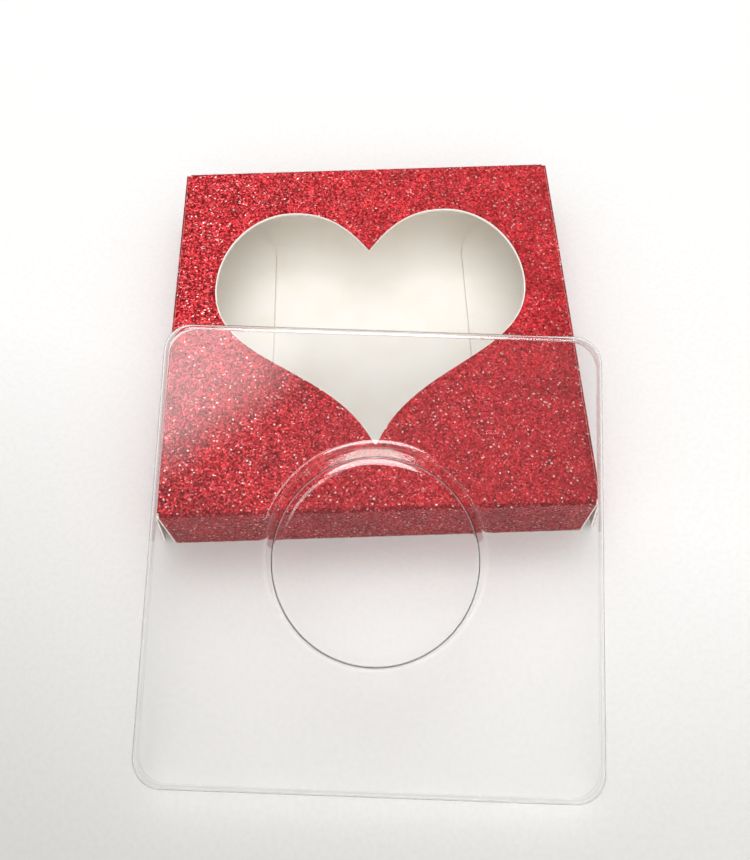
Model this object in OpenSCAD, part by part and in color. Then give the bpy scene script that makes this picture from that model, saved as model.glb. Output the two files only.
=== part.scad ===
// False eyelash case: a square tuck end carton with a heart window, and the clear
// formed tray that goes inside it. The tray stands out of the carton, with one corner
// on the table and its skirt on the carton's front edge.
// Origin: centre of the carton's underside. X runs from end to end, +Y to the back, +Z up.

/* [Carton] */
// Outside width of the carton, from one end closure to the other
carton_w = 96; // [80:1:120]
// Outside depth of the carton, from front wall to back wall
carton_d = 97.5; // [80:0.5:120]
// Outside height of the carton
carton_h = 18; // [15:0.5:30]
// Thickness of the card
card_t = 0.45; // [0.3:0.05:0.7]
// Outside radius of a crease that stays folded
crease_r = 0.9; // [0.8:0.05:1.5]
// Height of the flap glued inside the back wall
glue_flap_h = 12; // [8:0.5:13]
// How much the glue flap narrows to each end, from its crease to its top edge
glue_flap_taper = 5; // [2:0.5:10]

/* [Heart window] */
// Card left between the heart and each end of the top panel
window_end_margin = 10; // [6:0.5:24]
// Card left between the heart and the front and back walls
window_side_margin = 15; // [8:0.5:28]

/* [End closures] */
// Angle at which each closure stands open at rest
end_gap_angle = 7; // [0:0.5:9]
// How much shorter a closure is than the carton's depth, at each end of its crease
closure_inset = 0.6; // [0.5:0.1:2]
// Length of a tuck flap from its crease to its free edge
tuck_l = 24; // [18:0.5:30]
// Radius of a tuck flap's two free corners
tuck_corner_r = 14; // [4:0.5:16]
// How much narrower a tuck flap is than its closure, at each side
tuck_inset = 1.9; // [1:0.1:4]

/* [Dust flaps] */
// Length of a dust flap from its crease
dust_l = 14; // [8:0.5:20]
// Straight part of a dust flap's top edge, before its 45 degree mitre
dust_shoulder = 1; // [0.5:0.25:3]
// Share of the closure's swing that a dust flap springs out by
dust_follow = 0.75; // [0.5:0.05:0.85]

/* [Lash tray] */
// Thickness of the clear sheet the tray is formed from
film_t = 0.45; // [0.3:0.05:0.6]
// Depth of the skirt below the tray's face
skirt_h = 5.5; // [3:0.25:7]
// Draft of the skirt
skirt_draft = 3; // [1:0.5:6]
// Outside radius where the face turns down into the skirt
skirt_bend_r = 1; // [0.8:0.1:2]
// Radius of the tray's four corners, at the skirt's cut edge
tray_corner_r = 5; // [4:0.5:12]
// Diameter of the flat top of the round boss
boss_flat_d = 38.5; // [24:0.5:56]
// How far the boss stands off the tray's middle, towards the edge on the table
boss_offset = 1.5; // [0:0.25:3]
// Draft of the boss's wall
boss_draft = 16; // [4:1:30]
// Radius round the boss's top edge
boss_top_r = 1.2; // [0.8:0.1:1.8]
// Radius where the boss meets the face
boss_foot_r = 2.2; // [0.8:0.1:2.4]

/* [Tray leaning on the carton] */
// How far in front of the carton the tray's lowest corner stands
tray_reach = 57; // [48:1:66]
// How far the tray is turned in its own plane
tray_turn = 3.8; // [0:0.1:6]
// How far the tray stands off the carton's middle, towards +X
tray_shift = -0.4; // [-3:0.1:3]

/* [Clearances] */
// Gap round a crease that swings
crease_gap = 0.05; // [0.03:0.01:0.1]
// Gap between the tuck flap and what it slides past
tuck_gap = 0.15; // [0.1:0.05:0.3]
// Gap between the dust flap and what it folds behind
dust_gap = 0.1; // [0.1:0.05:0.2]
// Gap between the tray and what it stands between inside the carton, at each side
tray_gap = 0.1; // [0.05:0.05:1]
// Room left above the tray's boss inside the carton
tray_headroom = 3.5; // [2:0.5:5]
// Gap between the leaning tray and what it rests on
rest_gap = 0.1; // [0.05:0.05:0.2]

/* [Hidden] */

$fn = 96;
glitter_red = [0.78, 0.13, 0.19];
card_ivory = [0.95, 0.92, 0.84];
clear_film = [0.88, 0.9, 0.9, 0.35];

// The closure swings round this line at the end of the top panel
closure_x = carton_w / 2 - card_t / 2;
closure_z = carton_h - card_t / 2;
closure_half_l = carton_d / 2 - closure_inset;

// Shut, the tuck flap lies just above the base, and its crease is this far below the closure's
tuck_crease_z = 1.5 * card_t + tuck_gap;
closure_l = closure_z - tuck_crease_z;

// Where the tuck crease stands at rest, with the closure a little open
tuck_x = closure_x + closure_l * sin(end_gap_angle);
tuck_z = closure_z - closure_l * cos(end_gap_angle);
tuck_half_l = closure_half_l - tuck_inset;

// The dust flaps swing round the side edges of the front and back walls
dust_x = closure_x - card_t - dust_gap;
dust_y = carton_d / 2 - card_t / 2;
dust_low_z = tuck_z + card_t / 2 + 4 * tuck_gap;
dust_top_z = carton_h - card_t - 2 * tuck_gap;
dust_flare = dust_follow * end_gap_angle;

top_half_w = carton_w / 2 - card_t - crease_gap;
wall_half_w = dust_x - card_t / 2 - crease_gap;
base_half_w = carton_w / 2 - card_t - dust_gap;

// The tray fits between the dust flaps one way, and between the front wall and the
// glue flap the other
tray_w = 2 * (dust_x - card_t / 2 - tray_gap);
tray_d = carton_d - 3 * card_t - 2 * tray_gap;
boss_h = carton_h - 3 * card_t - skirt_h - tray_headroom;
curve_steps = 8;

// Point at u along a curve with four control points
function bezier(p, u) =
    pow(1 - u, 3) * p[0] + 3 * u * pow(1 - u, 2) * p[1]
    + 3 * u * u * (1 - u) * p[2] + pow(u, 3) * p[3];

// Points on an arc about [x, z], from one angle to another
function arc(x, z, r, from, to) =
    [for (i = [0 : curve_steps])
        let (a = from + (to - from) * i / curve_steps)
        [x + r * cos(a), z + r * sin(a)]];

function reversed(list) = [for (i = [len(list) - 1 : -1 : 0]) list[i]];

// Half of the heart, from the notch over the lobe and down to the tip,
// as shares of its half width and its height above the tip
heart_notch = [0, 0.81];
heart_lobe = [0.51, 1];
heart_widest = [1, 0.66];
heart_tip = [0, 0];
heart_curves = [
    [heart_notch, [0.12, 0.91], [0.26, 1], heart_lobe],
    [heart_lobe, [0.78, 1], [1, 0.85], heart_widest],
    [heart_widest, [1, 0.33], [0.22, 0.32], heart_tip]];
heart_steps = 14;
heart_half = [
    for (c = heart_curves, i = [1 : heart_steps]) bezier(c, i / heart_steps)];

module heart(w, h) {
    right = [for (p = heart_half) [p[0] * w / 2, (p[1] - 0.5) * h]];
    left = [for (i = [len(right) - 2 : -1 : 0]) [-right[i][0], right[i][1]]];
    notch = [0, (heart_notch[1] - 0.5) * h];
    polygon(concat([notch], right, left));
}

// Quarter ring of card round a crease, with its centre at the origin
module crease_bend() {
    intersection() {
        difference() {
            circle(r = crease_r);
            circle(r = crease_r - card_t);
        }
        translate([-crease_r, -crease_r]) square(crease_r);
    }
}

// Runs a section drawn in Y and Z along the carton's width
module along_x(half_w) {
    rotate([90, 0, 90]) linear_extrude(2 * half_w, center = true) children();
}

module top_panel() {
    color(glitter_red)
    translate([0, 0, carton_h - card_t])
    linear_extrude(card_t)
    difference() {
        square([2 * top_half_w, carton_d - 2 * crease_r], center = true);
        heart(carton_w - 2 * window_end_margin, carton_d - 2 * window_side_margin);
    }
}

module front_wall() {
    color(glitter_red)
    translate([0, -carton_d / 2, 0])
    along_x(wall_half_w) {
        translate([0, crease_r]) square([card_t, carton_h - 2 * crease_r]);
        translate([crease_r, crease_r]) crease_bend();
        translate([crease_r, carton_h - crease_r]) mirror([0, 1]) crease_bend();
    }
}

// The back wall's lower edge is a cut edge, because the glued seam is there
module back_wall() {
    color(glitter_red)
    translate([0, carton_d / 2, 0])
    along_x(wall_half_w) {
        translate([-card_t, rest_gap])
            square([card_t, carton_h - crease_r - rest_gap]);
        translate([-crease_r, carton_h - crease_r]) rotate(180) crease_bend();
    }
}

module base_panel() {
    front = -carton_d / 2 + crease_r;
    back = carton_d / 2 - card_t - crease_r;
    color(glitter_red)
    translate([-base_half_w, front, 0])
        cube([2 * base_half_w, back - front, card_t]);
}

module glue_flap() {
    color(card_ivory)
    translate([0, carton_d / 2 - card_t, 0])
    intersection() {
        along_x(wall_half_w) {
            translate([-card_t, crease_r]) square([card_t, glue_flap_h - crease_r]);
            translate([-crease_r, crease_r]) mirror([1, 0]) crease_bend();
        }
        rotate([90, 0, 0])
        linear_extrude(4 * crease_r, center = true)
        polygon([
            [-wall_half_w, 0], [wall_half_w, 0], [wall_half_w, crease_r],
            [wall_half_w - glue_flap_taper, glue_flap_h],
            [glue_flap_taper - wall_half_w, glue_flap_h], [-wall_half_w, crease_r]]);
    }
}

// Closure at the left end, with both long edges rounded where they fold
module closure() {
    color(glitter_red)
    translate([-closure_x, 0, closure_z])
    rotate([0, end_gap_angle, 0])
    rotate([90, 0, 0])
    linear_extrude(2 * closure_half_l, center = true) {
        circle(d = card_t);
        translate([-card_t / 2, -closure_l]) square([card_t, closure_l]);
        translate([0, -closure_l]) circle(d = card_t);
    }
}

module left_closure() closure();

module right_closure() mirror([1, 0, 0]) closure();

// Tuck flap of the left end, flat on the base, with two large free corners
module tuck_flap() {
    start = card_t / 2 + crease_gap;
    corner_x = tuck_l - tuck_corner_r;
    corner_y = tuck_half_l - tuck_corner_r;
    color(card_ivory)
    translate([-tuck_x, 0, tuck_z - card_t / 2])
    linear_extrude(card_t) {
        translate([start, -tuck_half_l]) square([corner_x - start, 2 * tuck_half_l]);
        translate([start, -corner_y]) square([tuck_l - start, 2 * corner_y]);
        intersection() {
            for (side = [-1, 1])
                translate([corner_x, side * corner_y]) circle(r = tuck_corner_r);
            translate([start, -tuck_half_l]) square([tuck_l, 2 * tuck_half_l]);
        }
    }
}

module left_tuck_flap() tuck_flap();

module right_tuck_flap() mirror([1, 0, 0]) tuck_flap();

// Dust flap at the front of the left end. Its mitre lets it swing out under the closure.
module dust_flap() {
    flap_h = dust_top_z - dust_low_z;
    mitre_end = dust_shoulder + flap_h;
    color(glitter_red)
    translate([-dust_x, -dust_y, dust_low_z])
    rotate([0, 0, dust_flare]) {
        cylinder(d = card_t, h = flap_h);
        rotate([90, 0, 90])
        linear_extrude(card_t, center = true)
        intersection() {
            square([dust_l, flap_h]);
            polygon([[0, 0], [mitre_end, 0], [dust_shoulder, flap_h], [0, flap_h]]);
        }
    }
}

module front_left_dust_flap() dust_flap();

module back_left_dust_flap() mirror([0, 1, 0]) dust_flap();

module front_right_dust_flap() mirror([1, 0, 0]) dust_flap();

module back_right_dust_flap() mirror([1, 0, 0]) mirror([0, 1, 0]) dust_flap();

// Section of the tray's edge: the face, the bend and the drafted skirt. The face starts
// at the corner's centre, and the skirt's cut edge is at height 0.
module skirt_section() {
    bend_x = tray_corner_r - skirt_bend_r / cos(skirt_draft)
        - (skirt_h - skirt_bend_r) * tan(skirt_draft);
    bend_z = skirt_h - skirt_bend_r;
    outside = arc(bend_x, bend_z, skirt_bend_r, 90, skirt_draft);
    inside = arc(bend_x, bend_z, skirt_bend_r - film_t, skirt_draft, 90);
    polygon(concat(
        [[0, skirt_h]], outside,
        [[tray_corner_r, 0], [tray_corner_r - film_t / cos(skirt_draft), 0]],
        inside, [[0, skirt_h - film_t]]));
}

// Section of the boss: a flat top, a drafted wall and a filleted foot that runs into the face
module boss_section(face_overlap) {
    top_x = boss_flat_d / 2;
    top_z = skirt_h + boss_h - boss_top_r;
    foot_z = skirt_h + boss_foot_r;
    foot_x = top_x + (boss_top_r + boss_foot_r) / cos(boss_draft)
        + (top_z - foot_z) * tan(boss_draft);
    foot_from = 180 + boss_draft;
    upper = concat(
        arc(top_x, top_z, boss_top_r, 90, boss_draft),
        arc(foot_x, foot_z, boss_foot_r, foot_from, 270));
    lower = concat(
        arc(top_x, top_z, boss_top_r - film_t, 90, boss_draft),
        arc(foot_x, foot_z, boss_foot_r + film_t, foot_from, 270));
    rim_x = foot_x + face_overlap;
    polygon(concat(
        [[0, skirt_h + boss_h]], upper, [[rim_x, skirt_h], [rim_x, skirt_h - film_t]],
        reversed(lower), [[0, skirt_h + boss_h - film_t]]));
}

// The tray standing on its skirt, with its centre at the origin
module formed_tray() {
    corner_x = tray_w / 2 - tray_corner_r;
    corner_y = tray_d / 2 - tray_corner_r;
    face_overlap = 1;
    boss_foot_d = boss_flat_d + 2 * (boss_top_r + boss_foot_r) / cos(boss_draft)
        + 2 * (boss_h - boss_top_r - boss_foot_r) * tan(boss_draft);
    for (half = [0, 180])
        rotate(half) {
            translate([corner_x, corner_y, 0])
                rotate_extrude(angle = 90) skirt_section();
            translate([-corner_x, corner_y, 0])
                rotate(90) rotate_extrude(angle = 90) skirt_section();
            translate([corner_x, 0, 0])
                rotate([90, 0, 0])
                linear_extrude(2 * corner_y, center = true) skirt_section();
            translate([0, corner_y, 0])
                rotate([90, 0, 90])
                linear_extrude(2 * corner_x, center = true) skirt_section();
        }
    translate([0, 0, skirt_h - film_t])
    linear_extrude(film_t)
    difference() {
        square([2 * corner_x + face_overlap, 2 * corner_y + face_overlap], center = true);
        translate([0, -boss_offset]) circle(d = boss_foot_d + face_overlap);
    }
    translate([0, -boss_offset, 0]) rotate_extrude() boss_section(face_overlap);
}

// The tray leans until its skirt meets the round of the carton's front crease,
// with the lowest of its turned corners on the table
module lash_tray() {
    rise = carton_h - crease_r - rest_gap;
    run = tray_reach + crease_r;
    lean = atan2(rise, run) + asin((crease_r + rest_gap) / norm([rise, run]));
    low_corner = (tray_d / 2 - tray_corner_r) * cos(tray_turn)
        + (tray_w / 2 - tray_corner_r) * sin(tray_turn) + tray_corner_r;
    middle_y = low_corner * cos(lean) - carton_d / 2 - tray_reach;
    middle_z = low_corner * sin(lean) + rest_gap;
    color(clear_film)
    translate([tray_shift, middle_y, middle_z])
    rotate([lean, 0, 0])
    rotate([0, 0, -tray_turn])
        formed_tray();
}

top_panel();
front_wall();
back_wall();
base_panel();
glue_flap();
left_closure();
right_closure();
left_tuck_flap();
right_tuck_flap();
front_left_dust_flap();
back_left_dust_flap();
front_right_dust_flap();
back_right_dust_flap();
lash_tray();
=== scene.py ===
import math

import bmesh
import bpy
import numpy as np
from bpy.props import FloatProperty, IntProperty, PointerProperty, StringProperty
from mathutils import Matrix, Vector
from mathutils.geometry import delaunay_2d_cdt
from mathutils.kdtree import KDTree


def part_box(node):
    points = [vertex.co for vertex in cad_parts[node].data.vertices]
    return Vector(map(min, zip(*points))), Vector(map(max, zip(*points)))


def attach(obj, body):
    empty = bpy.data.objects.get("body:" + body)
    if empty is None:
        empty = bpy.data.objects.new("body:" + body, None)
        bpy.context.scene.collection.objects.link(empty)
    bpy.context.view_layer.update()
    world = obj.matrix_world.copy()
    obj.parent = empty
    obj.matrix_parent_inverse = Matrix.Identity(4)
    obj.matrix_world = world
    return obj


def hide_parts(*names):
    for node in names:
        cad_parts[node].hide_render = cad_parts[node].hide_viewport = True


bl_info = {
    "name": "False eyelash case",
    "version": (1, 0, 0),
    "blender": (4, 5, 0),
    "location": "3D View > Sidebar > Lash Case",
    "description": "Dresses a heart window carton in glitter card and forms its clear lash tray",
    "category": "Object",
}

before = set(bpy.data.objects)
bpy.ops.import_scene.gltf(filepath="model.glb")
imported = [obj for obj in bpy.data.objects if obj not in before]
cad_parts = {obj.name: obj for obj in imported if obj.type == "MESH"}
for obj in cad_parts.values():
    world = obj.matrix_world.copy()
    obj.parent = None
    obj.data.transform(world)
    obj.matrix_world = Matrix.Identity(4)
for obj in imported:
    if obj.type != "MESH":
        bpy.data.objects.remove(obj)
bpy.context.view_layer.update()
MM = 0.001
# Bare card left beside a crease, so that a panel clears its neighbour as it swings
CREASE_CLEARANCE = 0.05 * MM
# What one piece keeps from the next where they nearly touch
GAP = 0.1 * MM
# Share of a closure's swing that its dust flaps spring out by
DUST_FOLLOW = 0.75
# Height of the flakes on a dust flap, where the closure rubs
DUST_RELIEF = 0.06 * MM
# How deep the back of a glitter layer lies in the card
GLUE_DEPTH = 0.02 * MM
# Share of the flakes' height that is left under the base, and in a closure's crease
PRESSED_BASE, WORN_CREASE = 0.25, 0.3
# How far the worn flakes reach from a closure's inner edge, round its crease
WORN_REACH = 0.6 * MM
# Angles in degrees at which a closure's glitter starts above its crease and ends below
# its tuck
WRAP_START, WRAP_END = 140, -80
# How far the table lies below the card
TABLE_DROP = 0.03 * MM
# Lowest flake, as a share of the highest
LOW_FLAKE = 0.35
# Shares of the facets' spacing: how far a point strays, and what it keeps from an edge
STRAY, EDGE_ROOM = 0.3, 0.55
DUST_FLAPS = {
    "front_left_dust_flap": (-1, -1),
    "back_left_dust_flap": (-1, 1),
    "front_right_dust_flap": (1, -1),
    "back_right_dust_flap": (1, 1),
}
CLOSURES = {"left_closure": -1, "right_closure": 1}
TUCK_FLAPS = {"left_tuck_flap": -1, "right_tuck_flap": 1}
CARD_NODES = (
    "top_panel", "front_wall", "back_wall", "base_panel", "glue_flap",
    *CLOSURES, *TUCK_FLAPS, *DUST_FLAPS,
)


# Sizes and colours that a user would change

class CartonProps(bpy.types.PropertyGroup):
    width: FloatProperty(
        name="Width", description="Outside width, from one end closure to the other",
        default=96 * MM, unit="LENGTH", precision=5)
    depth: FloatProperty(
        name="Depth", description="Outside depth, from front wall to back wall",
        default=97.5 * MM, unit="LENGTH", precision=5)
    height: FloatProperty(
        name="Height", description="Outside height of the carton",
        default=18 * MM, unit="LENGTH", precision=5)
    card: FloatProperty(
        name="Card", description="Thickness of the card",
        default=0.45 * MM, unit="LENGTH", precision=5)
    crease: FloatProperty(
        name="Crease", description="Outside radius of a crease that stays folded",
        default=0.9 * MM, unit="LENGTH", precision=5)
    window_end: FloatProperty(
        name="Window end", description="Glitter left between the heart and each end",
        default=9.75 * MM, unit="LENGTH", precision=5)
    window_side: FloatProperty(
        name="Window side", description="Glitter left between the heart and each long side",
        default=14.75 * MM, unit="LENGTH", precision=5)
    tuck_corner: FloatProperty(
        name="Tuck corner", description="Radius of a tuck flap's free corners",
        default=14 * MM, unit="LENGTH", precision=5)
    dust_length: FloatProperty(
        name="Dust length", description="Length of a dust flap from its crease",
        default=14 * MM, unit="LENGTH", precision=5)
    dust_shoulder: FloatProperty(
        name="Dust shoulder", description="Straight part of a dust flap's top edge",
        default=1 * MM, unit="LENGTH", precision=5)
    end_gap: FloatProperty(
        name="End gap", description="Angle at which each closure stands open at rest",
        default=math.radians(7), subtype="ANGLE")
    board: StringProperty(
        name="Board", description="Colour of the card's bare inside", default="#FEFAF3")
    board_shade: StringProperty(
        name="Board shade", description="Colour of the fibres' darker flecks", default="#F9F3E8")


class GlitterProps(bpy.types.PropertyGroup):
    grain: FloatProperty(
        name="Grain", description="Width of one glitter flake as drawn",
        default=0.36 * MM, unit="LENGTH", precision=5)
    facet: FloatProperty(
        name="Facet", description="Spacing of the modelled facets",
        default=0.6 * MM, unit="LENGTH", precision=5)
    relief: FloatProperty(
        name="Relief", description="Height of the flakes above the card",
        default=0.1 * MM, unit="LENGTH", precision=5)
    seed: IntProperty(
        name="Seed", description="Start of the facets' random heights", default=11)
    # The flakes are one red: the dark colour is painted shade, and the bright, pinkish and
    # near-white colours are painted light and painted glints
    dark: StringProperty(
        name="Dark flake", description="Colour of a flake turned from the light", default="#880F16")
    middle: StringProperty(
        name="Red flake", description="Colour of most flakes", default="#A81A22")
    bright: StringProperty(
        name="Bright flake", description="Colour of a flake turned to the light", default="#C63238")
    painted_highlight: StringProperty(
        name="Pink flake", description="Colour of a flake near its glint", default="#EB6A6E")
    painted_glint: StringProperty(
        name="Spark", description="Colour of a glinting flake", default="#FFDAD4")


class TrayProps(bpy.types.PropertyGroup):
    width: FloatProperty(
        name="Width", description="Width at the skirt's cut edge",
        default=94.8 * MM, unit="LENGTH", precision=5)
    depth: FloatProperty(
        name="Depth", description="Depth at the skirt's cut edge",
        default=95.95 * MM, unit="LENGTH", precision=5)
    film: FloatProperty(
        name="Film", description="Thickness of the clear sheet",
        default=0.32 * MM, unit="LENGTH", precision=5)
    skirt: FloatProperty(
        name="Skirt", description="Depth of the skirt below the face",
        default=5.5 * MM, unit="LENGTH", precision=5)
    skirt_draft: FloatProperty(
        name="Skirt draft", description="Draft of the skirt",
        default=math.radians(3), subtype="ANGLE")
    bend: FloatProperty(
        name="Bend", description="Outside radius where the face turns into the skirt",
        default=1.5 * MM, unit="LENGTH", precision=5)
    corner: FloatProperty(
        name="Corner", description="Radius of the tray's corners at the cut edge",
        default=6.3 * MM, unit="LENGTH", precision=5)
    boss: FloatProperty(
        name="Boss", description="Diameter of the boss's flat top",
        default=39.4 * MM, unit="LENGTH", precision=5)
    boss_height: FloatProperty(
        name="Boss height", description="Height of the boss above the face",
        default=7.65 * MM, unit="LENGTH", precision=5)
    boss_offset: FloatProperty(
        name="Boss offset", description="How far the boss stands off the middle",
        default=1.5 * MM, unit="LENGTH", precision=5)
    boss_draft: FloatProperty(
        name="Boss draft", description="Draft of the boss's wall",
        default=math.radians(18), subtype="ANGLE")
    boss_skew: FloatProperty(
        name="Boss skew",
        description="How far the boss's top stands nearer the table than its foot",
        default=1.1 * MM, unit="LENGTH", precision=5)
    boss_top: FloatProperty(
        name="Boss top", description="Radius round the boss's top edge",
        default=1.0 * MM, unit="LENGTH", precision=5)
    boss_shoulder: FloatProperty(
        name="Boss shoulder", description="Radius on which the boss's top starts to fall away",
        default=4 * MM, unit="LENGTH", precision=5)
    boss_fall: FloatProperty(
        name="Boss fall", description="Slope that the shoulder reaches before its edge",
        default=math.radians(26), subtype="ANGLE")
    boss_foot: FloatProperty(
        name="Boss foot", description="Radius where the boss meets the face",
        default=2.0 * MM, unit="LENGTH", precision=5)
    bow: FloatProperty(
        name="Bow", description="How far the face bows and ripples from forming",
        default=0.16 * MM, unit="LENGTH", precision=5)
    reach: FloatProperty(
        name="Reach", description="How far in front of the carton the tray stands",
        default=57 * MM, unit="LENGTH", precision=5)
    turn: FloatProperty(
        name="Turn", description="How far the tray is turned in its own plane",
        default=math.radians(3.8), subtype="ANGLE")
    shift: FloatProperty(
        name="Shift", description="How far the tray stands off the carton's middle",
        default=-0.7 * MM, unit="LENGTH", precision=5)
    tint: StringProperty(
        name="Tint", description="Colour of the clear sheet", default="#FBFBFB")


class StageProps(bpy.types.PropertyGroup):
    table: FloatProperty(
        name="Table", description="Half the length of the table's side",
        default=3.0, unit="LENGTH")
    floor: StringProperty(
        name="Floor", description="Colour of the table", default="#F5F4F2")
    # Painted shade: the table's colour at its near left corner, darker where less light falls
    near_floor_shade: StringProperty(
        name="Near floor", description="Colour of the table's near edge", default="#C5C3BF")
    key: FloatProperty(
        name="Key light", description="Power of the soft light overhead",
        default=0.6, unit="POWER")
    back: FloatProperty(
        name="Back light", description="Power of the soft light behind",
        default=1.0, unit="POWER")
    ambient: FloatProperty(
        name="Ambient", description="Level of the room's light where it is brightest", default=1.75)


# Materials

def linear(colour):
    """The linear RGBA of an sRGB hex colour."""
    parts = [int(colour[i:i + 2], 16) / 255 for i in (1, 3, 5)]
    return (*[p / 12.92 if p <= 0.04045 else ((p + 0.055) / 1.055) ** 2.4 for p in parts], 1.0)


def add(tree, kind, settings=None, inputs=None, stops=(), blend="LINEAR"):
    """A new node of that kind, with its settings, values, links and colour stops."""
    node = tree.nodes.new(kind)
    for name, value in (settings or {}).items():
        setattr(node, name, value)
    for key, value in (inputs or {}).items():
        socket = node.inputs[key]
        if isinstance(value, bpy.types.NodeSocket):
            tree.links.new(value, socket)
        else:
            socket.default_value = value
    for i, (place, colour) in enumerate(stops):
        elements = node.color_ramp.elements
        stop = elements[i] if i < 2 else elements.new(place)
        stop.position, stop.color = place, colour
    if stops:
        node.color_ramp.interpolation = blend
    return node


def blank(name):
    """A new material with an empty tree."""
    material = bpy.data.materials.new(name)
    material.use_nodes = True
    material.node_tree.nodes.clear()
    return material, material.node_tree


def rolled_glitter():
    """Polyester glitter rolled into glue on card: flakes of one red that lie at all angles.
    Their colours run from painted shade to a painted white glint, besides each flake's own tilt."""
    look = bpy.context.scene.lash_glitter
    material, tree = blank("rolled glitter")
    place = add(tree, "ShaderNodeTexCoord").outputs["Object"]
    # Real flakes are 0.2 mm across. They are drawn nearly twice as wide, so that they show.
    flakes = add(tree, "ShaderNodeTexVoronoi", inputs={
        "Vector": place, "Scale": 1 / look.grain, "Randomness": 1.0})
    split = add(tree, "ShaderNodeSeparateColor", inputs={"Color": flakes.outputs["Color"]})
    # Painted light and shade: each flake gets a darker, brighter, pinkish or near-white colour as
    # if turned from or towards the lamps
    colour = add(tree, "ShaderNodeValToRGB", inputs={"Fac": split.outputs["Red"]}, stops=[
        (0.0, linear(look.dark)), (0.26, linear(look.middle)), (0.6, linear(look.bright)),
        (0.9, linear(look.painted_highlight)), (0.978, linear(look.painted_glint))], blend="CONSTANT")
    # Glue fills the gaps between flakes. They are drawn darker: partly the glue's own colour,
    # partly painted shade between the raised flakes
    gap = add(tree, "ShaderNodeMapRange", inputs={
        "Value": flakes.outputs["Distance"], "From Min": 0.35, "From Max": 0.75,
        "To Min": 1.0, "To Max": 0.7})
    # Where the glue was rolled thicker, patches about 8 mm across are a little darker
    patches = add(tree, "ShaderNodeTexNoise", inputs={
        "Vector": place, "Scale": 120.0, "Detail": 3.0, "Roughness": 0.6})
    patch = add(tree, "ShaderNodeMapRange", inputs={
        "Value": patches.outputs["Fac"], "From Min": 0.35, "From Max": 0.65,
        "To Min": 0.8, "To Max": 1.06})
    shade = add(tree, "ShaderNodeMath", {"operation": "MULTIPLY"}, {
        0: gap.outputs["Result"], 1: patch.outputs["Result"]})
    tone = add(tree, "ShaderNodeVectorMath", {"operation": "SCALE"}, {
        0: colour.outputs["Color"], "Scale": shade.outputs[0]})
    # Each flake has its own tilt, and its own gloss
    centred = add(tree, "ShaderNodeVectorMath", {"operation": "SUBTRACT"}, {
        0: flakes.outputs["Color"], 1: (0.5, 0.5, 0.5)})
    tilt = add(tree, "ShaderNodeVectorMath", {"operation": "SCALE"}, {
        0: centred.outputs[0], "Scale": 0.7})
    normal = add(tree, "ShaderNodeVectorMath", {"operation": "ADD"}, {
        0: tilt.outputs[0], 1: add(tree, "ShaderNodeNewGeometry").outputs["Normal"]})
    unit = add(tree, "ShaderNodeVectorMath", {"operation": "NORMALIZE"}, {0: normal.outputs[0]})
    gloss = add(tree, "ShaderNodeMapRange", inputs={
        "Value": split.outputs["Green"], "To Min": 0.35, "To Max": 0.6})
    shader = add(tree, "ShaderNodeBsdfPrincipled", inputs={
        "Base Color": tone.outputs[0], "Metallic": 0.75, "IOR": 1.5,
        "Roughness": gloss.outputs["Result"], "Normal": unit.outputs[0]})
    add(tree, "ShaderNodeOutputMaterial", inputs={"Surface": shader.outputs[0]})
    return material


def ivory_board():
    """Uncoated ivory board, calendered: matt and nearly even, with a faint fibre."""
    look = bpy.context.scene.lash_carton
    material, tree = blank("ivory board")
    place = add(tree, "ShaderNodeTexCoord").outputs["Object"]
    # Wood fibres are about 1 mm long and 0.03 mm wide. They are drawn 0.25 mm wide.
    fibres = add(tree, "ShaderNodeTexNoise", inputs={
        "Vector": add(tree, "ShaderNodeMapping", inputs={
            "Vector": place, "Scale": (1.0, 4.0, 4.0)}).outputs[0],
        "Scale": 1000.0, "Detail": 3.0, "Roughness": 0.6})
    clouds = add(tree, "ShaderNodeTexNoise", inputs={
        "Vector": place, "Scale": 90.0, "Detail": 2.0})
    blend = add(tree, "ShaderNodeMath", {"operation": "MULTIPLY_ADD"}, {
        0: fibres.outputs["Fac"], 1: 0.6, 2: clouds.outputs["Fac"]})
    colour = add(tree, "ShaderNodeValToRGB", inputs={"Fac": blend.outputs[0]}, stops=[
        (0.5, linear(look.board_shade)), (0.85, linear(look.board))])
    bump = add(tree, "ShaderNodeBump", inputs={
        "Height": fibres.outputs["Fac"], "Distance": 0.02 * MM, "Strength": 0.6})
    shader = add(tree, "ShaderNodeBsdfPrincipled", inputs={
        "Base Color": colour.outputs["Color"], "IOR": 1.5, "Roughness": 0.82,
        "Normal": bump.outputs[0]})
    add(tree, "ShaderNodeOutputMaterial", inputs={"Surface": shader.outputs[0]})
    return material


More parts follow.
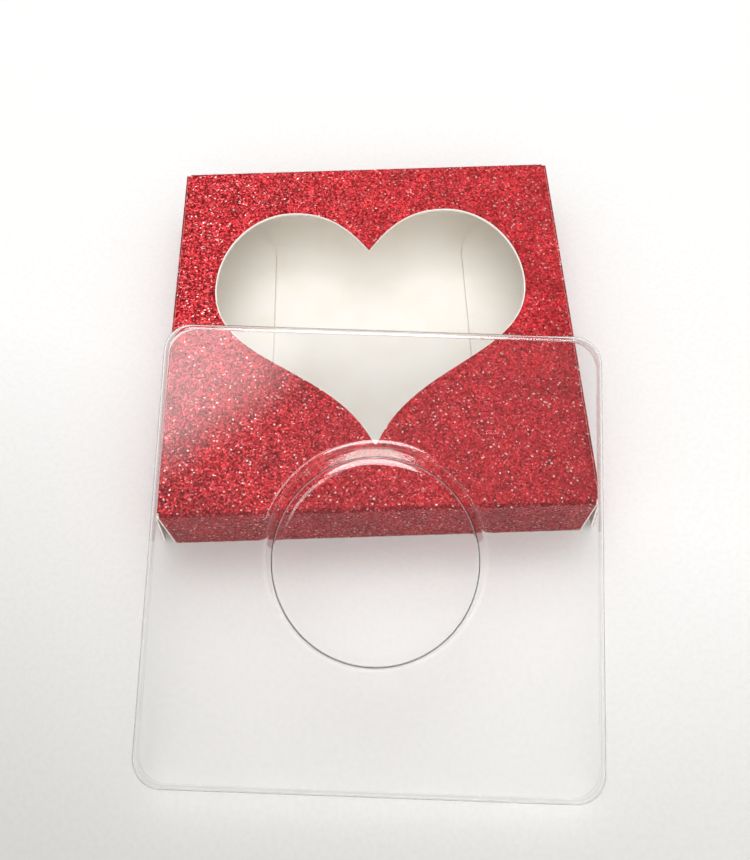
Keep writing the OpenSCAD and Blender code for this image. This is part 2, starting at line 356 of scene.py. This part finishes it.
def clear_formed_sheet():
    """Thermoformed clear PET: colourless and glossy, with a trace of haze and fine
    scuffs, which is why its edges draw thin dark and bright lines."""
    look = bpy.context.scene.lash_tray
    material, tree = blank("clear formed sheet")
    place = add(tree, "ShaderNodeTexCoord").outputs["Object"]
    # Handling scuffs are a few hundredths of a millimetre wide, drawn 0.15 mm wide
    scuffs = add(tree, "ShaderNodeTexNoise", inputs={
        "Vector": add(tree, "ShaderNodeMapping", inputs={
            "Vector": place, "Rotation": (0.0, 0.0, 0.6), "Scale": (1.0, 9.0, 1.0)}).outputs[0],
        "Scale": 700.0, "Detail": 4.0, "Roughness": 0.7})
    rough = add(tree, "ShaderNodeMapRange", inputs={
        "Value": scuffs.outputs["Fac"], "From Min": 0.4, "From Max": 0.75,
        "To Min": 0.015, "To Max": 0.07})
    # Forming leaves ripples 0.6 mm apart one way and 2 mm the other, which break up a
    # reflected lamp
    ripples = add(tree, "ShaderNodeTexNoise", inputs={
        "Vector": add(tree, "ShaderNodeMapping", inputs={
            "Vector": place, "Scale": (0.45, 1.5, 1.0)}).outputs[0],
        "Scale": 1100.0, "Detail": 3.0, "Roughness": 0.55})
    bump = add(tree, "ShaderNodeBump", inputs={
        "Height": ripples.outputs["Fac"], "Distance": 0.0015 * MM, "Strength": 1.0})
    sheet = add(tree, "ShaderNodeBsdfPrincipled", inputs={
        "Base Color": linear(look.tint), "IOR": 1.5, "Roughness": rough.outputs["Result"],
        "Transmission Weight": 1.0, "Normal": bump.outputs[0]})
    # Lamps shine straight through, so that the sheet's shadow stays pale
    through = add(tree, "ShaderNodeBsdfTransparent", inputs={"Color": (0.99, 0.99, 0.99, 1.0)})
    path = add(tree, "ShaderNodeLightPath")
    mix = add(tree, "ShaderNodeMixShader", inputs={
        0: path.outputs["Is Shadow Ray"], 1: sheet.outputs[0], 2: through.outputs[0]})
    add(tree, "ShaderNodeOutputMaterial", inputs={"Surface": mix.outputs[0]})
    return material


def white_lacquer():
    """White lacquered table top: satin and faintly speckled."""
    look = bpy.context.scene.lash_stage
    material, tree = blank("white lacquer")
    place = add(tree, "ShaderNodeTexCoord").outputs["Object"]
    speckle = add(tree, "ShaderNodeTexNoise", inputs={
        "Vector": place, "Scale": 900.0, "Detail": 2.0})
    fleck = add(tree, "ShaderNodeMapRange", inputs={
        "Value": speckle.outputs["Fac"], "From Min": 0.35, "From Max": 0.6, "To Min": 0.97})
    # Painted shade: the table is drawn darker towards the near left corner, where less light
    # reaches it
    far = add(tree, "ShaderNodeVectorMath", {"operation": "DOT_PRODUCT"}, {
        0: place, 1: (0.35, 0.94, 0.0)})
    away = add(tree, "ShaderNodeMapRange", inputs={
        "Value": far.outputs["Value"], "From Min": -0.155, "From Max": -0.02})
    tone = add(tree, "ShaderNodeValToRGB", inputs={"Fac": away.outputs["Result"]}, stops=[
        (0.0, linear(look.near_floor_shade)), (1.0, linear(look.floor))])
    colour = add(tree, "ShaderNodeVectorMath", {"operation": "SCALE"}, {
        0: tone.outputs["Color"], "Scale": fleck.outputs["Result"]})
    shader = add(tree, "ShaderNodeBsdfPrincipled", inputs={
        "Base Color": colour.outputs[0], "Roughness": 0.6, "IOR": 1.45})
    add(tree, "ShaderNodeOutputMaterial", inputs={"Surface": shader.outputs[0]})
    return material


def finish_of(name):
    """The material of that name, made the first time that it is asked for."""
    makers = {"rolled glitter": rolled_glitter, "ivory board": ivory_board,
              "clear formed sheet": clear_formed_sheet, "white lacquer": white_lacquer}
    return bpy.data.materials.get(name) or makers[name]()


# Shapes

class Fold:
    """The outside of folded card in section: a line of points with their outward normals."""

    def __init__(self):
        self.points, self.normals = [], []

    def line(self, start, end, normal):
        for share in (0, 1):
            self.points.append(np.array(start) * (1 - share) + np.array(end) * share)
            self.normals.append(np.array(normal, float))

    def bend(self, centre, radius, start, end):
        for angle in np.radians(np.linspace(start, end, 13)):
            normal = np.array((math.cos(angle), math.sin(angle)))
            self.points.append(np.array(centre) + radius * normal)
            self.normals.append(normal)

    def close(self):
        """Works out how far along the section each point is."""
        points = np.array(self.points)
        steps = np.linalg.norm(np.diff(points, axis=0), axis=1)
        self.along = np.concatenate([[0], np.cumsum(np.maximum(steps, 1e-9))])
        self.points, self.normals = points, np.array(self.normals)

    def at(self, v, height):
        """Points at distances v along the section, and at heights above it."""
        out = []
        for axis in (0, 1):
            p = np.interp(v, self.along, self.points[:, axis])
            n = np.interp(v, self.along, self.normals[:, axis])
            out.append(p + height * n)
        return out


def inside(points, loop):
    """Which points lie inside the closed loop."""
    x, y = points[:, 0], points[:, 1]
    result = np.zeros(len(points), bool)
    for (x0, y0), (x1, y1) in zip(loop, np.roll(loop, -1, axis=0)):
        if y0 == y1:
            continue
        crosses = (y0 > y) != (y1 > y)
        result ^= crosses & (x < (x1 - x0) * (y - y0) / (y1 - y0) + x0)
    return result


def within(points, loops):
    """Which points lie inside the first loop and in none of the others."""
    keep = inside(points, loops[0])
    for hole in loops[1:]:
        keep &= ~inside(points, hole)
    return keep


def resampled(loop, step):
    """The loop with no two points further apart than step."""
    out = []
    for a, b in zip(loop, np.roll(loop, -1, axis=0)):
        count = max(1, math.ceil(np.linalg.norm(b - a) / step))
        out += [a + (b - a) * i / count for i in range(count)]
    return np.array(out)


def facets(outline, holes, rows, step, rng):
    """Points and triangles that fill an outline with holes, about step apart, with
    points along each row so that the triangles follow a crease."""
    loops = [resampled(np.array(loop, float), step) for loop in [outline, *holes]]
    edge = np.concatenate(loops)
    low, high = edge.min(0), edge.max(0)
    # Every second row starts half a step further in
    for i, v in enumerate(rows):
        u = np.arange(low[0] + step * (0.5 + 0.5 * (i % 2)), high[0] - 0.4 * step, step)
        row = np.stack([u, np.full(len(u), v)], -1)
        edge = np.concatenate([edge, row[inside(row, loops[0])]])
    tree = KDTree(len(edge))
    for i, (x, y) in enumerate(edge):
        tree.insert((x, y, 0), i)
    tree.balance()
    grid = np.stack(np.meshgrid(
        np.arange(low[0], high[0], step), np.arange(low[1], high[1], step)), -1).reshape(-1, 2)
    grid += rng.uniform(-STRAY, STRAY, grid.shape) * step
    grid = grid[within(grid, loops)]
    grid = np.array([p for p in grid if tree.find((*p, 0))[2] > EDGE_ROOM * step])
    links, start = [], 0
    for loop in loops:
        count = len(loop)
        links += [(start + i, start + (i + 1) % count) for i in range(count)]
        start += count
    points = np.concatenate([edge, grid])
    verts, _, faces, *_ = delaunay_2d_cdt([Vector(p) for p in points], links, [], 0, 1e-9)
    verts = np.array([tuple(v) for v in verts])
    faces = np.array([tuple(f) for f in faces])
    faces = faces[within(verts[faces].mean(1), loops)]
    a, b, c = (verts[faces[:, i]] for i in range(3))
    turn = (b - a)[:, 0] * (c - a)[:, 1] - (b - a)[:, 1] * (c - a)[:, 0]
    faces[turn < 0] = faces[turn < 0][:, ::-1]
    return verts, faces


def new_piece(name, verts, faces, material, body, smooth=False):
    """A mesh object with one material, riding on a body."""
    mesh = bpy.data.meshes.new(name)
    mesh.from_pydata([tuple(v) for v in verts], [], [tuple(int(i) for i in f) for f in faces])
    mesh.validate()
    mesh.materials.append(finish_of(material))
    mesh.polygons.foreach_set("use_smooth", [smooth] * len(mesh.polygons))
    piece = bpy.data.objects.new(name, mesh)
    bpy.context.scene.collection.objects.link(piece)
    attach(piece, body)
    return piece


def glitter_face(name, outline, spot, body, holes=(), rows=(), relief=None, seed=0):
    """A glitter layer over card: facets at random heights, and a back inside the card."""
    look = bpy.context.scene.lash_glitter
    rng = np.random.default_rng(look.seed + seed)
    verts, faces = facets(outline, holes, rows, look.facet, rng)
    rise = look.relief if relief is None else relief
    height = rng.uniform(LOW_FLAKE, 1.0, len(verts)) * (
        rise(verts) if callable(rise) else rise)
    top = spot(verts[:, 0], verts[:, 1], height)
    back = spot(verts[:, 0], verts[:, 1], np.full(len(verts), -GLUE_DEPTH))
    count = len(verts)
    edges = np.concatenate([faces[:, [0, 1]], faces[:, [1, 2]], faces[:, [2, 0]]])
    known = {(int(a), int(b)) for a, b in edges}
    walls = [(b, a, a + count, b + count) for a, b in known if (b, a) not in known]
    shell = [*faces.tolist(), *(faces[:, ::-1] + count).tolist(), *walls]
    piece = new_piece(name, np.concatenate([top, back]), shell, "rolled glitter", body)
    mesh = bmesh.new()
    mesh.from_mesh(piece.data)
    bmesh.ops.recalc_face_normals(mesh, faces=mesh.faces)
    mesh.to_mesh(piece.data)
    mesh.free()


# The heart's right side, in shares of half its width and of its height: the points where
# its curves meet, and each curve with its two handles
HEART_NOTCH, HEART_LOBE, HEART_WIDEST, HEART_TIP = (0, 0.81), (0.51, 1), (1, 0.66), (0, 0)
HEART_CURVES = (
    (HEART_NOTCH, (0.12, 0.91), (0.26, 1), HEART_LOBE),
    (HEART_LOBE, (0.78, 1), (1, 0.85), HEART_WIDEST),
    (HEART_WIDEST, (1, 0.33), (0.22, 0.32), HEART_TIP),
)


def heart(width, height, steps=40):
    """The heart window's outline about its middle."""
    right = []
    for curve in HEART_CURVES:
        p = np.array(curve, float)
        for u in np.arange(1, steps + 1) / steps:
            right.append((1 - u) ** 3 * p[0] + 3 * u * (1 - u) ** 2 * p[1]
                         + 3 * u * u * (1 - u) * p[2] + u ** 3 * p[3])
    right = (np.array(right) - (0, 0.5)) * (width / 2, height)
    left = right[-2::-1] * (-1, 1)
    return np.concatenate([[(0, (HEART_NOTCH[1] - 0.5) * height)], right, left])


def closure_lines():
    """Where the closures' and tuck flaps' creases are: (x, z, x, z)."""
    c = bpy.context.scene.lash_carton
    hinge_x, hinge_z = c.width / 2 - c.card / 2, c.height - c.card / 2
    length = hinge_z - 1.5 * c.card - 1.5 * GAP
    return (hinge_x, hinge_z, hinge_x + length * math.sin(c.end_gap),
            hinge_z - length * math.cos(c.end_gap))


# One operator for each group of pieces

class LASHCASE_OT_card_core(bpy.types.Operator):
    """Gives every card panel and flap its ivory board"""
    bl_idname = "lash_case.card_core"
    bl_label = "Card core"

    def execute(self, context):
        for name in CARD_NODES:
            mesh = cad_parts[name].data
            mesh.materials.clear()
            mesh.materials.append(finish_of("ivory board"))
        return {"FINISHED"}


class LASHCASE_OT_sleeve_glitter(bpy.types.Operator):
    """Wraps the sleeve's four sides in one glitter layer, with the heart cut out"""
    bl_idname = "lash_case.sleeve_glitter"
    bl_label = "Sleeve glitter"

    def execute(self, context):
        c = context.scene.lash_carton
        half_d, r, h, t = c.depth / 2, c.crease, c.height, c.card
        fold = Fold()
        fold.line((half_d, GAP), (half_d, h - r), (1, 0))
        fold.bend((half_d - r, h - r), r, 0, 90)
        fold.line((half_d - r, h), (r - half_d, h), (0, 1))
        fold.bend((r - half_d, h - r), r, 90, 180)
        fold.line((-half_d, h - r), (-half_d, r), (-1, 0))
        fold.bend((r - half_d, r), r, 180, 270)
        fold.line((r - half_d, 0), (half_d - t - r, 0), (0, -1))
        fold.close()
        quarter = math.pi / 2 * r
        top_from = h - r - GAP + quarter
        top_to = top_from + 2 * (half_d - r)
        base_from = top_to + 2 * quarter + h - 2 * r
        end = fold.along[-1]
        top_half = c.width / 2 - t - CREASE_CLEARANCE
        wall_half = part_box("front_wall")[1].x
        base_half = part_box("base_panel")[1].x
        right = [(wall_half, 0), (wall_half, top_from), (top_half, top_from),
                 (top_half, top_to), (wall_half, top_to), (wall_half, base_from),
                 (base_half, base_from), (base_half, end)]
        outline = right + [(-x, v) for x, v in reversed(right)]
        # The die leaves a narrow bare rim round the window
        window = heart(c.width - 2 * c.window_end, c.depth - 2 * c.window_side) * (1, -1)
        window[:, 1] += (top_from + top_to) / 2

        def spot(u, v, height):
            y, z = fold.at(v, height)
            return np.stack([u, y, z], -1)

        def rise(verts):
            # The base is pressed flat by what it stands on
            return np.where(verts[:, 1] > base_from - quarter, PRESSED_BASE, 1.0) * (
                context.scene.lash_glitter.relief)

        rows = [start + share * quarter for share in np.linspace(0, 1, 6)
                for start in (h - r - GAP, top_to, base_from - quarter)]
        glitter_face("sleeve_glitter", outline, spot, "carton_shell", [window], rows, rise)
        return {"FINISHED"}


class LASHCASE_OT_closure_glitter(bpy.types.Operator):
    """Lays glitter on the outside of both closures, round their creases"""
    bl_idname = "lash_case.closure_glitter"
    bl_label = "Closure glitter"

    def execute(self, context):
        c = context.scene.lash_carton
        hinge_x, hinge_z, tuck_x, tuck_z = closure_lines()
        r, lean = c.card / 2, math.degrees(c.end_gap)
        out = np.array((math.cos(c.end_gap), math.sin(c.end_gap)))
        fold = Fold()
        fold.bend((hinge_x, hinge_z), r, WRAP_START, lean)
        fold.line(np.array((hinge_x, hinge_z)) + r * out, np.array((tuck_x, tuck_z)) + r * out, out)
        fold.bend((tuck_x, tuck_z), r, lean, WRAP_END)
        fold.close()
        half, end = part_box("left_closure")[1].y, fold.along[-1]
        outline = [(-half, 0), (half, 0), (half, end), (-half, end)]

        def rise(verts):
            # Worn flat in the crease, so that it clears the top panel as it opens
            return np.where(verts[:, 1] < WORN_REACH, WORN_CREASE, 1.0) * (
                context.scene.lash_glitter.relief)

        for name, side in CLOSURES.items():
            def spot(u, v, height):
                x, z = fold.at(v, height)
                return np.stack([side * x, u, z], -1)
            glitter_face(name + "_glitter", outline, spot, name,
                         rows=fold.along[1:-1], relief=rise, seed=2 + side)
        return {"FINISHED"}


class LASHCASE_OT_tuck_glitter(bpy.types.Operator):
    """Lays glitter on the outside of both tuck flaps, which lie face down on the base"""
    bl_idname = "lash_case.tuck_glitter"
    bl_label = "Tuck flap glitter"

    def execute(self, context):
        c = context.scene.lash_carton
        tuck_z = closure_lines()[3]
        low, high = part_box("right_tuck_flap")
        start, end, half, corner = high.x, low.x, high.y, c.tuck_corner
        arc = [(end + corner - corner * math.sin(a), half - corner + corner * math.cos(a))
               for a in np.linspace(0, math.pi / 2, 24) if
               end + corner - corner * math.sin(a) < start]
        side_points = [(start, half), *arc]
        outline = side_points + [(x, -y) for x, y in reversed(side_points)]
        for name, side in TUCK_FLAPS.items():
            def spot(u, v, height):
                z = tuck_z - c.card / 2 - height
                return np.stack([side * u, v, z], -1)
            glitter_face(name + "_glitter", outline, spot, name, seed=6 + side)
        return {"FINISHED"}


class LASHCASE_OT_dust_glitter(bpy.types.Operator):
    """Lays glitter on the outside of the four dust flaps"""
    bl_idname = "lash_case.dust_glitter"
    bl_label = "Dust flap glitter"

    def execute(self, context):
        c = context.scene.lash_carton
        hinge_x = c.width / 2 - 1.5 * c.card - GAP
        hinge_y = c.depth / 2 - c.card / 2
        low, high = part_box("front_left_dust_flap")
        tall, flare = high.z - low.z, DUST_FOLLOW * c.end_gap
        length, shoulder = c.dust_length, c.dust_shoulder
        outline = [(0, 0), (length, 0), (length, tall + shoulder - length),
                   (shoulder, tall), (0, tall)]
        for i, (name, (side, end)) in enumerate(DUST_FLAPS.items()):
            def spot(u, v, height):
                off = c.card / 2 + height
                along = hinge_y - (u * math.cos(flare) - off * math.sin(flare))
                across = hinge_x + u * math.sin(flare) + off * math.cos(flare)
                return np.stack([side * across, end * along, low.z + v], -1)
            glitter_face(name + "_glitter", outline, spot, name,
                         relief=DUST_RELIEF, seed=10 + i)
        return {"FINISHED"}


class LASHCASE_OT_lash_tray(bpy.types.Operator):
    """Forms the clear tray: a drafted boss, a bowed face and a skirt with round corners"""
    bl_idname = "lash_case.lash_tray"
    bl_label = "Lash tray"

    def execute(self, context):
        t = context.scene.lash_tray
        half = t.film / 2
        # Middle of the sheet in section, from the boss's middle out to its foot
        top_r, foot_r = t.boss_top - half, t.boss_foot + half
        cosine, slope = math.cos(t.boss_draft), math.tan(t.boss_draft)
        sine = math.sin(t.boss_fall)
        shoulder = t.boss_shoulder - half
        flat_z = t.skirt + t.boss_height - half
        top_x = t.boss / 2
        top_z = flat_z - shoulder + (shoulder - top_r) * math.cos(t.boss_fall)
        flat_x = top_x - (shoulder - top_r) * sine
        foot_z = t.skirt + t.boss_foot
        foot_x = top_x + (t.boss_top + t.boss_foot) / cosine + (top_z - foot_z) * slope
        steep = math.pi / 2 - t.boss_fall
        section = [(flat_x * s, flat_z) for s in (0.25, 0.5, 0.75, 0.92)]
        section += [(flat_x + shoulder * math.cos(a), flat_z - shoulder * (1 - math.sin(a)))
                    for a in np.linspace(math.pi / 2, steep, 9)[:-1]]
        section += [(top_x + top_r * math.cos(a), top_z + top_r * math.sin(a))
                    for a in np.linspace(steep, t.boss_draft, 8)]
        section += [(foot_x + foot_r * math.cos(a), foot_z + foot_r * math.sin(a))
                    for a in np.linspace(math.pi + t.boss_draft, 1.5 * math.pi, 11)]
        # Middle of the sheet at the rim, out from the corner's centre
        bend_z, rim_r = t.skirt - t.bend, t.bend - half
        bend_x = t.corner - t.bend / math.cos(t.skirt_draft) - bend_z * math.tan(t.skirt_draft)
        edge = [(bend_x + rim_r * math.cos(a), bend_z + rim_r * math.sin(a))
                for a in np.linspace(math.pi / 2, t.skirt_draft, 9)]
        last_x = t.corner - half / math.cos(t.skirt_draft)
        edge += [(edge[-1][0] + (last_x - edge[-1][0]) * s, edge[-1][1] * (1 - s))
                 for s in (0.33, 0.67, 1)]
        corner = np.array((t.width / 2 - t.corner, t.depth / 2 - t.corner))
        spots, turns = self.round_square(corner)
        rim = [(spots + x * turns, z) for x, z in edge]
        # The boss's rings, each point in line with one of the rim's
        middle = np.array((0, -t.boss_offset))
        rays = rim[0][0] - middle
        rays /= np.linalg.norm(rays, axis=1)[:, None]
        skew = np.array((0, t.boss_skew / t.boss_height))
        rings = [(middle + x * rays + skew * (flat_z - z), z) for x, z in section]
        foot = rings[-1][0]
        rings += [(foot + (rim[0][0] - foot) * s, t.skirt - half)
                  for s in np.linspace(0, 1, 15)[1:-1]]
        rings += rim
        count = len(spots)
        verts = [(middle[0], middle[1], rings[0][1])]
        for ring, z in rings:
            verts += [(x, y, z) for x, y in ring]
        faces = [(0, 1 + i, 1 + (i + 1) % count) for i in range(count)]
        for k in range(len(rings) - 1):
            a, b = 1 + k * count, 1 + (k + 1) * count
            faces += [(a + i, b + i, b + (i + 1) % count, a + (i + 1) % count)
                      for i in range(count)]
        verts = self.bowed(np.array(verts), t, corner + t.corner)
        verts = self.leaning(verts, t, corner)
        tray = new_piece("lash_tray_sheet", verts, faces, "clear formed sheet", "lash_tray", True)
        sheet = tray.modifiers.new("film", "SOLIDIFY")
        sheet.thickness = t.film
        sheet.offset = 0
        sheet.use_even_offset = True
        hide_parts("lash_tray")
        return {"FINISHED"}

    def round_square(self, corner, side_steps=56, corner_steps=22):
        """Corner centres and outward directions in order round a square with round corners."""
        spots, turns = [], []
        signs = ((1, 1), (-1, 1), (-1, -1), (1, -1))
        for i, (sx, sy) in enumerate(signs):
            here = corner * (sx, sy)
            after = corner * signs[(i + 1) % 4]
            for a in np.radians(90 * i + np.linspace(0, 90, corner_steps + 1)):
                spots.append(here)
                turns.append((math.cos(a), math.sin(a)))
            for s in np.arange(1, side_steps) / side_steps:
                spots.append(here + (after - here) * s)
                turns.append(turns[-1])
        return np.array(spots), np.array(turns)

    def bowed(self, verts, t, reach):
        """Bows the face and ripples it, and leaves the boss's top and the cut edge alone."""
        u, v = verts[:, 0] / reach[0], verts[:, 1] / reach[1]
        # 1 at the face, and falling away within 2 mm above and below it
        near_face = np.exp(-((verts[:, 2] - t.skirt) / (2 * MM)) ** 2)
        inner = np.clip(1 - np.maximum(np.abs(u), np.abs(v)) ** 6, 0, 1)
        # Two slow waves that cross, about two crests of each over the face
        ripple = np.sin(5.1 * u + 2.3 * v) + 0.6 * np.sin(7.7 * v - 3.1 * u + 1)
        verts[:, 2] += t.bow * near_face * inner * (0.45 * ripple - 0.6 * (1 - u * u))
        return verts

    def leaning(self, verts, t, corner):
        """Stands the tray on its skirt's low corner and on the carton's front crease."""
        c = bpy.context.scene.lash_carton
        rise, run = c.height - c.crease - GAP, t.reach + c.crease
        lean = math.atan2(rise, run) + math.asin((c.crease + GAP) / math.hypot(rise, run))
        low = corner[1] * math.cos(t.turn) + corner[0] * math.sin(t.turn) + t.corner
        place = Vector((t.shift, low * math.cos(lean) - c.depth / 2 - t.reach,
                        low * math.sin(lean) + GAP))
        matrix = (Matrix.Translation(place) @ Matrix.Rotation(lean, 4, "X")
                  @ Matrix.Rotation(-t.turn, 4, "Z"))
        turned = np.array(matrix)
        return verts @ turned[:3, :3].T + turned[:3, 3]


class LASHCASE_OT_stage(bpy.types.Operator):
    """Sets the table, the soft lights, the room and the camera"""
    bl_idname = "lash_case.stage"
    bl_label = "Table, lights and camera"

    def execute(self, context):
        look = context.scene.lash_stage
        half = look.table
        mesh = bpy.data.meshes.new("table")
        mesh.from_pydata([(-half, -half, 0), (half, -half, 0), (half, half, 0), (-half, half, 0)],
                         [], [(0, 1, 2, 3)])
        mesh.materials.append(finish_of("white lacquer"))
        table = bpy.data.objects.new("table", mesh)
        # Just below the flakes under the base
        table.location.z = -TABLE_DROP
        context.scene.collection.objects.link(table)
        # Both lights are aimed at the top panel
        aim = (0.0, 0.0, 0.02)
        self.lamp("key_light", look.key, (0.5, 0.2), (0.0, 0.24, 0.6), aim)
        self.lamp("back_light", look.back, (1.2, 0.2), (0.05, 0.72, 0.75), aim)
        self.room(context, look)
        self.camera(context)
        context.scene.view_settings.view_transform = "Standard"
        return {"FINISHED"}

    def lamp(self, name, power, size, place, aim):
        """A flat soft light at a place, aimed at a point."""
        data = bpy.data.lights.new(name, "AREA")
        data.shape = "RECTANGLE"
        data.energy, data.size, data.size_y = power, *size
        lamp = bpy.data.objects.new(name, data)
        lamp.location = place
        lamp.rotation_euler = (Vector(aim) - Vector(place)).to_track_quat("-Z", "Y").to_euler()
        bpy.context.scene.collection.objects.link(lamp)

    def room(self, context, look):
        """Soft room light for matt surfaces, and a pale backdrop for the eye and for gloss."""
        world = bpy.data.worlds.new("room")
        world.use_nodes = True
        context.scene.world = world
        tree = world.node_tree
        tree.nodes.clear()
        up = add(tree, "ShaderNodeSeparateXYZ", inputs={
            0: add(tree, "ShaderNodeTexCoord").outputs["Generated"]})
        # The room is darker on the near side, where nothing is lit
        front = add(tree, "ShaderNodeMapRange", inputs={
            "Value": up.outputs["Y"], "From Min": -1.0, "From Max": -0.4, "To Min": 0.1})
        backdrop = add(tree, "ShaderNodeValToRGB", inputs={"Fac": up.outputs["Z"]}, stops=[
            (0.0, (1.0, 1.0, 1.0, 1.0)), (0.15, (0.95, 0.95, 0.95, 1.0)),
            (0.45, (0.32, 0.32, 0.32, 1.0)), (0.8, (0.25, 0.25, 0.25, 1.0))])
        backdrop = add(tree, "ShaderNodeVectorMath", {"operation": "SCALE"}, {
            0: backdrop.outputs["Color"], "Scale": front.outputs["Result"]})
        # Two ceiling panels: a soft one high on the left, and a bright one behind. Each has a
        # direction, the cosines at which it starts and is full, and a level.
        panels = (
            ((-0.27, 0.0, 0.963), 0.978, 0.9985, 3.6),
            ((0.0, 0.4, 0.917), 0.95, 0.958, 7.0),
        )
        for place, rim, core, level in panels:
            towards = add(tree, "ShaderNodeVectorMath", {"operation": "DOT_PRODUCT"}, {
                0: add(tree, "ShaderNodeTexCoord").outputs["Generated"], 1: place})
            panel = add(tree, "ShaderNodeMapRange", {"interpolation_type": "SMOOTHSTEP"}, {
                "Value": towards.outputs["Value"], "From Min": rim, "From Max": core,
                "To Min": 0.0, "To Max": level})
            backdrop = add(tree, "ShaderNodeVectorMath", {"operation": "ADD"}, {
                0: backdrop.outputs[0], 1: panel.outputs["Result"]})
        path = add(tree, "ShaderNodeLightPath")
        seen = add(tree, "ShaderNodeMath", {"operation": "MAXIMUM"}, {
            0: path.outputs["Is Camera Ray"], 1: path.outputs["Is Transmission Ray"]})
        # A low white ceiling lights the room, brightest above the near side
        above = add(tree, "ShaderNodeVectorMath", {"operation": "DOT_PRODUCT"}, {
            0: add(tree, "ShaderNodeTexCoord").outputs["Generated"], 1: (0.0, -0.45, 0.89)})
        ceiling = add(tree, "ShaderNodeValToRGB", inputs={"Fac": above.outputs["Value"]}, stops=[
            (0.0, (*[0.05 * look.ambient] * 3, 1.0)), (0.5, (*[0.33 * look.ambient] * 3, 1.0)),
            (1.0, (*[look.ambient] * 3, 1.0))])
        light = add(tree, "ShaderNodeBackground", inputs={"Color": ceiling.outputs["Color"]})
        plain = add(tree, "ShaderNodeBackground", inputs={"Color": (0.95, 0.95, 0.95, 1.0)})
        gloss = add(tree, "ShaderNodeBackground", inputs={"Color": backdrop.outputs[0]})
        mix = add(tree, "ShaderNodeMixShader", inputs={
            0: seen.outputs[0], 1: light.outputs[0], 2: plain.outputs[0]})
        mix = add(tree, "ShaderNodeMixShader", inputs={
            0: path.outputs["Is Glossy Ray"], 1: mix.outputs[0], 2: gloss.outputs[0]})
        add(tree, "ShaderNodeOutputWorld", inputs={"Surface": mix.outputs[0]})

    def camera(self, context):
        """The camera stands where it stood for the picture that the case is matched to."""
        data = bpy.data.cameras.new("camera")
        data.sensor_fit, data.sensor_width = "HORIZONTAL", 36.0
        data.lens = 38.4
        data.clip_start, data.clip_end = 0.01, 10.0
        camera = bpy.data.objects.new("camera", data)
        camera.location = (-0.000565, -0.109489, 0.178946)
        camera.rotation_euler = [math.radians(a) for a in (26.3953, 0.6495, -1.7058)]
        context.scene.collection.objects.link(camera)
        context.scene.camera = camera


class LASHCASE_PT_pieces(bpy.types.Panel):
    """Lists the case's pieces"""
    bl_label = "False eyelash case"
    bl_idname = "LASHCASE_PT_pieces"
    bl_space_type = "VIEW_3D"
    bl_region_type = "UI"
    bl_category = "Lash Case"

    def draw(self, context):
        for operator in OPERATORS:
            self.layout.operator(operator.bl_idname)
        for name, kind in GROUPS.items():
            box = self.layout.box()
            for prop in kind.__annotations__:
                box.prop(getattr(context.scene, name), prop)


GROUPS = {"lash_carton": CartonProps, "lash_glitter": GlitterProps,
          "lash_tray": TrayProps, "lash_stage": StageProps}
OPERATORS = (
    LASHCASE_OT_card_core, LASHCASE_OT_sleeve_glitter, LASHCASE_OT_closure_glitter,
    LASHCASE_OT_tuck_glitter, LASHCASE_OT_dust_glitter, LASHCASE_OT_lash_tray,
    LASHCASE_OT_stage,
)


def register():
    for kind in (*GROUPS.values(), *OPERATORS, LASHCASE_PT_pieces):
        bpy.utils.register_class(kind)
    for name, kind in GROUPS.items():
        setattr(bpy.types.Scene, name, PointerProperty(type=kind))


def unregister():
    for name in GROUPS:
        delattr(bpy.types.Scene, name)
    for kind in reversed((*GROUPS.values(), *OPERATORS, LASHCASE_PT_pieces)):
        bpy.utils.unregister_class(kind)


def main():
    register()
    for operator in OPERATORS:
        group, name = operator.bl_idname.split(".")
        getattr(getattr(bpy.ops, group), name)()


if __name__ == "__main__":
    main()
